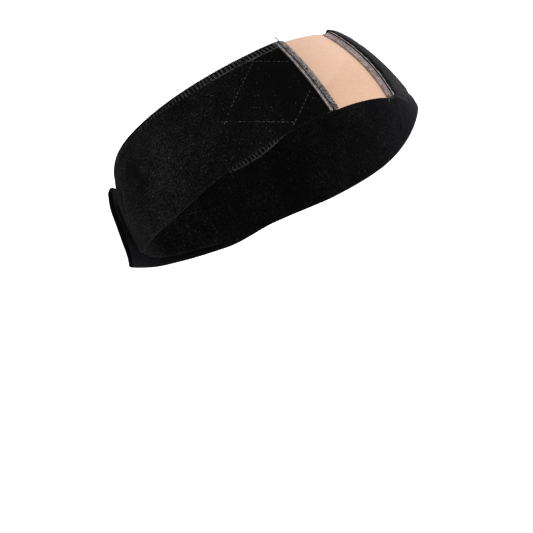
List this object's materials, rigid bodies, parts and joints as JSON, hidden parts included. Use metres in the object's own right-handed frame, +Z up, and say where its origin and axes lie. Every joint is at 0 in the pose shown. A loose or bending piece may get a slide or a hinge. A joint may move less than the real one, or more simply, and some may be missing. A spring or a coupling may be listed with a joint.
{
  "type": "wig grip band",
  "caption": "Velvet head band with a sheer lace front panel, serged seam strips and an overlapped hook-and-loop closure at the back, held in the form it has when worn.",
  "frame": {"origin": "the middle of the head that the band goes round, where the mount head_seat is", "axes": "+Z up, the forehead faces -Y and the wearer's right is -X"},
  "size_m": [0.1659, 0.1701, 0.1552],
  "materials": {
    "velvet": "short black velvet pile, faintly shiny where it turns away",
    "lace": "sheer flesh-toned lace mesh",
    "hem_cloth": "light grey folded hem",
    "serged_cloth": "grey serging threads over dark cloth",
    "tape_cloth": "black hook and loop tape"
  },
  "bodies": {
    "root": {"right_wing": "velvet", "left_wing": "velvet", "lace_panel": "lace", "right_seam_hem": "hem_cloth", "left_seam_hem": "hem_cloth", "right_seam_serging": "serged_cloth", "left_seam_serging": "serged_cloth", "closure_tape": "tape_cloth"}
  },
  "joints": []
}
